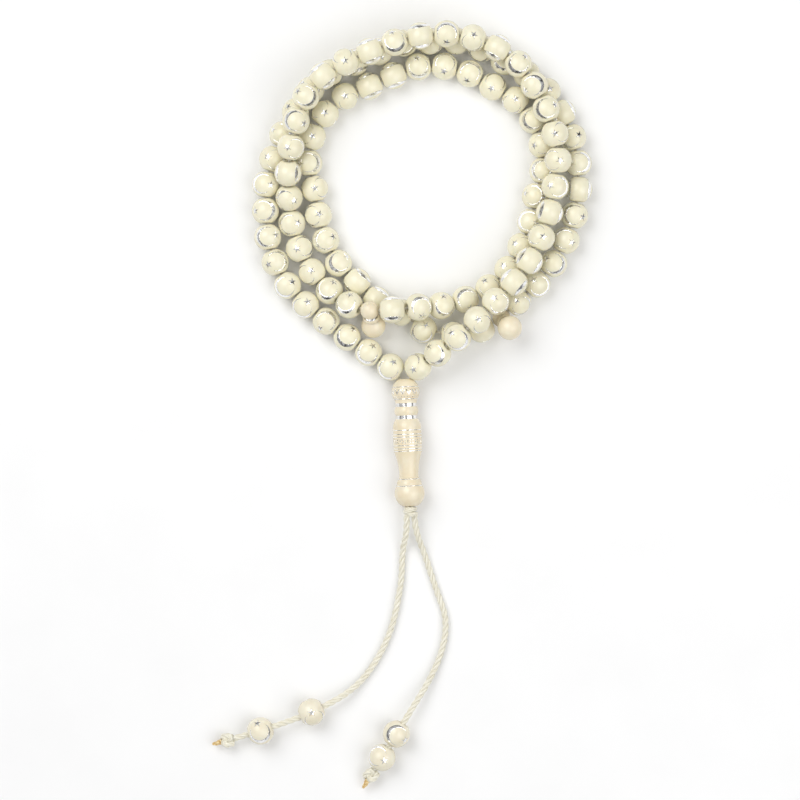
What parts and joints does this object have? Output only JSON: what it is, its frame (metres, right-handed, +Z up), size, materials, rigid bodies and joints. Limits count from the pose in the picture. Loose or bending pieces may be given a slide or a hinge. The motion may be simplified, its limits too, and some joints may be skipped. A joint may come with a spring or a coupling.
{
  "type": "misbaha prayer beads",
  "caption": "Strand of cream prayer beads with inlaid silver crescents and stars, two small markers, a long imam and two beaded cord tails, lying loosely coiled.",
  "frame": {"origin": "on the table, under the middle of the strand and the imam", "axes": "+Z up from the table, +Y from the tails and the imam towards the far side of the strand"},
  "size_m": [0.1117, 0.2248, 0.0162],
  "materials": {
    "counting_bead": "polished cream resin with inlaid silver crescents and stars",
    "tail_bead": "polished cream resin with inlaid silver crescents and stars",
    "turned_piece": "polished warm cream resin with silver rings in its grooves",
    "string": "thin braided string",
    "tail_cord": "satin twisted three-ply cord"
  },
  "bodies": {
    "strand": {"counting_beads_01_11": "counting_bead", "counting_beads_12_22": "counting_bead", "counting_beads_23_33": "counting_bead", "counting_beads_34_44": "counting_bead", "counting_beads_45_55": "counting_bead", "counting_beads_56_66": "counting_bead", "loop_string": "string", "tie_knot": "tail_cord", "tail_cord_left": "tail_cord", "end_knot_left": "tail_cord", "tail_cord_right": "tail_cord", "end_knot_right": "tail_cord"},
    "counting_bead_67": {"counting_bead_67": "counting_bead"},
    "counting_bead_68": {"counting_bead_68": "counting_bead"},
    "counting_bead_69": {"counting_bead_69": "counting_bead"},
    "counting_bead_70": {"counting_bead_70": "counting_bead"},
    "counting_bead_71": {"counting_bead_71": "counting_bead"},
    "counting_bead_72": {"counting_bead_72": "counting_bead"},
    "counting_bead_73": {"counting_bead_73": "counting_bead"},
    "counting_bead_74": {"counting_bead_74": "counting_bead"},
    "counting_bead_75": {"counting_bead_75": "counting_bead"},
    "counting_bead_76": {"counting_bead_76": "counting_bead"},
    "counting_bead_77": {"counting_bead_77": "counting_bead"},
    "counting_bead_78": {"counting_bead_78": "counting_bead"},
    "counting_bead_79": {"counting_bead_79": "counting_bead"},
    "counting_bead_80": {"counting_bead_80": "counting_bead"},
    "counting_bead_81": {"counting_bead_81": "counting_bead"},
    "counting_bead_82": {"counting_bead_82": "counting_bead"},
    "counting_bead_83": {"counting_bead_83": "counting_bead"},
    "counting_bead_84": {"counting_bead_84": "counting_bead"},
    "counting_bead_85": {"counting_bead_85": "counting_bead"},
    "counting_bead_86": {"counting_bead_86": "counting_bead"},
    "counting_bead_87": {"counting_bead_87": "counting_bead"},
    "counting_bead_88": {"counting_bead_88": "counting_bead"},
    "counting_bead_89": {"counting_bead_89": "counting_bead"},
    "counting_bead_90": {"counting_bead_90": "counting_bead"},
    "counting_bead_91": {"counting_bead_91": "counting_bead"},
    "counting_bead_92": {"counting_bead_92": "counting_bead"},
    "counting_bead_93": {"counting_bead_93": "counting_bead"},
    "counting_bead_94": {"counting_bead_94": "counting_bead"},
    "counting_bead_95": {"counting_bead_95": "counting_bead"},
    "counting_bead_96": {"counting_bead_96": "counting_bead"},
    "counting_bead_97": {"counting_bead_97": "counting_bead"},
    "counting_bead_98": {"counting_bead_98": "counting_bead"},
    "counting_bead_99": {"counting_bead_99": "counting_bead"},
    "marker_1": {"marker_1": "turned_piece"},
    "marker_2": {"marker_2": "turned_piece"},
    "imam": {"imam": "turned_piece"},
    "tail_bead_left_upper": {"tail_bead_left_upper": "tail_bead"},
    "tail_bead_left_lower": {"tail_bead_left_lower": "tail_bead"},
    "tail_bead_right_upper": {"tail_bead_right_upper": "tail_bead"},
    "tail_bead_right_lower": {"tail_bead_right_lower": "tail_bead"}
  },
  "joints": [
    {"name": "bead_67_spin", "type": "hinge", "parent": "strand", "child": "counting_bead_67", "pos_m": [-0.02126, -0.01059, 0.00785], "axis": [-0.8288, 0.402, -0.3892], "continuous": true},
    {"name": "bead_68_spin", "type": "hinge", "parent": "strand", "child": "counting_bead_68", "pos_m": [-0.02705, -0.00639, 0.005], "axis": [-0.7212, 0.6448, -0.2532], "continuous": true},
    {"name": "bead_69_spin", "type": "hinge", "parent": "strand", "child": "counting_bead_69", "pos_m": [-0.03223, -0.00078, 0.004], "axis": [-0.5803, 0.8118, -0.0653], "continuous": true},
    {"name": "bead_70_spin", "type": "hinge", "parent": "strand", "child": "counting_bead_70", "pos_m": [-0.0359, 0.00598, 0.004], "axis": [-0.3811, 0.9245, 0], "continuous": true},
    {"name": "bead_71_spin", "type": "hinge", "parent": "strand", "child": "counting_bead_71", "pos_m": [-0.03806, 0.01337, 0.004], "axis": [-0.1929, 0.9732, 0.1248], "continuous": true},
    {"name": "bead_72_spin", "type": "hinge", "parent": "strand", "child": "counting_bead_72", "pos_m": [-0.03884, 0.02079, 0.0059], "axis": [-0.067, 0.9392, 0.3367], "continuous": true},
    {"name": "bead_73_spin", "type": "hinge", "parent": "strand", "child": "counting_bead_73", "pos_m": [-0.03909, 0.02776, 0.00916], "axis": [0.0409, 0.9496, 0.3107], "continuous": true},
    {"name": "bead_74_spin", "type": "hinge", "parent": "strand", "child": "counting_bead_74", "pos_m": [-0.03821, 0.03527, 0.01064], "axis": [0.1551, 0.9762, 0.1516], "continuous": true},
    {"name": "bead_75_spin", "type": "hinge", "parent": "strand", "child": "counting_bead_75", "pos_m": [-0.0367, 0.04277, 0.01149], "axis": [0.2876, 0.9553, 0.0686], "continuous": true},
    {"name": "bead_76_spin", "type": "hinge", "parent": "strand", "child": "counting_bead_76", "pos_m": [-0.03381, 0.0499, 0.01169], "axis": [0.5163, 0.8563, 0.0154], "continuous": true},
    {"name": "bead_77_spin", "type": "hinge", "parent": "strand", "child": "counting_bead_77", "pos_m": [-0.02885, 0.05579, 0.01172], "axis": [0.7555, 0.6552, 0.001], "continuous": true},
    {"name": "bead_78_spin", "type": "hinge", "parent": "strand", "child": "counting_bead_78", "pos_m": [-0.02232, 0.05987, 0.0117], "axis": [0.884, 0.4674, -0.0013], "continuous": true},
    {"name": "bead_79_spin", "type": "hinge", "parent": "strand", "child": "counting_bead_79", "pos_m": [-0.01527, 0.06298, 0.01171], "axis": [0.9278, 0.3732, -0.0003], "continuous": true},
    {"name": "bead_80_spin", "type": "hinge", "parent": "strand", "child": "counting_bead_80", "pos_m": [-0.00804, 0.06561, 0.0117], "axis": [0.9552, 0.2958, -0.0093], "continuous": true},
    {"name": "bead_81_spin", "type": "hinge", "parent": "strand", "child": "counting_bead_81", "pos_m": [-0.00058, 0.06753, 0.01156], "axis": [0.9868, 0.1615, -0.0135], "continuous": true},
    {"name": "bead_82_spin", "type": "hinge", "parent": "strand", "child": "counting_bead_82", "pos_m": [0.0071, 0.06809, 0.01149], "axis": [0.9991, -0.038, -0.0161], "continuous": true},
    {"name": "bead_83_spin", "type": "hinge", "parent": "strand", "child": "counting_bead_83", "pos_m": [0.01471, 0.06694, 0.01131], "axis": [0.9645, -0.2627, -0.0265], "continuous": true},
    {"name": "bead_84_spin", "type": "hinge", "parent": "strand", "child": "counting_bead_84", "pos_m": [0.02185, 0.06407, 0.01109], "axis": [0.8687, -0.4953, -0.0052], "continuous": true},
    {"name": "bead_85_spin", "type": "hinge", "parent": "strand", "child": "counting_bead_85", "pos_m": [0.02796, 0.05939, 0.01123], "axis": [0.7029, -0.7112, 0.0071], "continuous": true},
    {"name": "bead_86_spin", "type": "hinge", "parent": "strand", "child": "counting_bead_86", "pos_m": [0.03257, 0.05322, 0.01119], "axis": [0.5268, -0.8497, -0.0228], "continuous": true},
    {"name": "bead_87_spin", "type": "hinge", "parent": "strand", "child": "counting_bead_87", "pos_m": [0.03604, 0.04636, 0.01089], "axis": [0.3936, -0.9189, -0.025], "continuous": true},
    {"name": "bead_88_spin", "type": "hinge", "parent": "strand", "child": "counting_bead_88", "pos_m": [0.03862, 0.0391, 0.01081], "axis": [0.2287, -0.973, -0.0327], "continuous": true},
    {"name": "bead_89_spin", "type": "hinge", "parent": "strand", "child": "counting_bead_89", "pos_m": [0.03954, 0.03147, 0.01038], "axis": [0.0068, -0.997, -0.0774], "continuous": true},
    {"name": "bead_90_spin", "type": "hinge", "parent": "strand", "child": "counting_bead_90", "pos_m": [0.03873, 0.02385, 0.00963], "axis": [-0.157, -0.986, -0.0559], "continuous": true},
    {"name": "bead_91_spin", "type": "hinge", "parent": "strand", "child": "counting_bead_91", "pos_m": [0.03713, 0.01631, 0.00953], "axis": [-0.2619, -0.9649, 0.022], "continuous": true},
    {"name": "bead_92_spin", "type": "hinge", "parent": "strand", "child": "counting_bead_92", "pos_m": [0.0347, 0.00902, 0.00996], "axis": [-0.3873, -0.9198, 0.063], "continuous": true},
    {"name": "bead_93_spin", "type": "hinge", "parent": "strand", "child": "counting_bead_93", "pos_m": [0.03118, 0.00219, 0.01049], "axis": [-0.5229, -0.8497, 0.067], "continuous": true},
    {"name": "bead_94_spin", "type": "hinge", "parent": "strand", "child": "counting_bead_94", "pos_m": [0.02667, -0.00403, 0.01099], "axis": [-0.6394, -0.7675, 0.0461], "continuous": true},
    {"name": "bead_95_spin", "type": "hinge", "parent": "strand", "child": "counting_bead_95", "pos_m": [0.02136, -0.0096, 0.0112], "axis": [-0.6948, -0.7153, 0.0754], "continuous": true},
    {"name": "bead_96_spin", "type": "hinge", "parent": "strand", "child": "counting_bead_96", "pos_m": [0.01599, -0.01503, 0.01215], "axis": [-0.7226, -0.6892, 0.0535], "continuous": true},
    {"name": "bead_97_spin", "type": "hinge", "parent": "strand", "child": "counting_bead_97", "pos_m": [0.01026, -0.02018, 0.01202], "axis": [-0.7552, -0.6329, -0.1707], "continuous": true},
    {"name": "bead_98_spin", "type": "hinge", "parent": "strand", "child": "counting_bead_98", "pos_m": [0.0045, -0.02466, 0.00956], "axis": [-0.7474, -0.5505, -0.3719], "continuous": true},
    {"name": "bead_99_spin", "type": "hinge", "parent": "strand", "child": "counting_bead_99", "pos_m": [-0.00123, -0.02865, 0.00631], "axis": [-0.726, -0.5466, -0.4174], "continuous": true},
    {"name": "marker_1_swing", "type": "hinge", "parent": "strand", "child": "marker_1", "pos_m": [-0.01533, -0.01226, 0.01052], "axis": [-0.9504, 0.113, -0.2897], "range_deg": [0, 4]},
    {"name": "marker_2_swing", "type": "hinge", "parent": "strand", "child": "marker_2", "pos_m": [0.02327, -0.01435, 0.00341], "axis": [-0.7951, -0.6065, 0.0002], "range_deg": [-55, 5]},
    {"name": "imam_spin", "type": "hinge", "parent": "strand", "child": "imam", "pos_m": [-0.00347, -0.06931, 0.0044], "axis": [0.0401, -0.9992, 0], "continuous": true},
    {"name": "tail_bead_left_upper_slide", "type": "slide", "parent": "strand", "child": "tail_bead_left_upper", "axis": [-0.9112, -0.4102, 0.0373], "range_m": [0, 0.003]},
    {"name": "tail_bead_left_lower_slide", "type": "slide", "parent": "strand", "child": "tail_bead_left_lower", "axis": [-0.9598, -0.2781, -0.0378], "range_m": [-0.003, 0]},
    {"name": "tail_bead_right_upper_slide", "type": "slide", "parent": "strand", "child": "tail_bead_right_upper", "axis": [-0.5219, -0.8522, -0.0359], "range_m": [-0.001, 0.0005]},
    {"name": "tail_bead_right_lower_spin", "type": "hinge", "parent": "strand", "child": "tail_bead_right_lower", "pos_m": [-0.01174, -0.14293, 0.004], "axis": [-0.5219, -0.8522, -0.0359], "continuous": true}
  ]
}
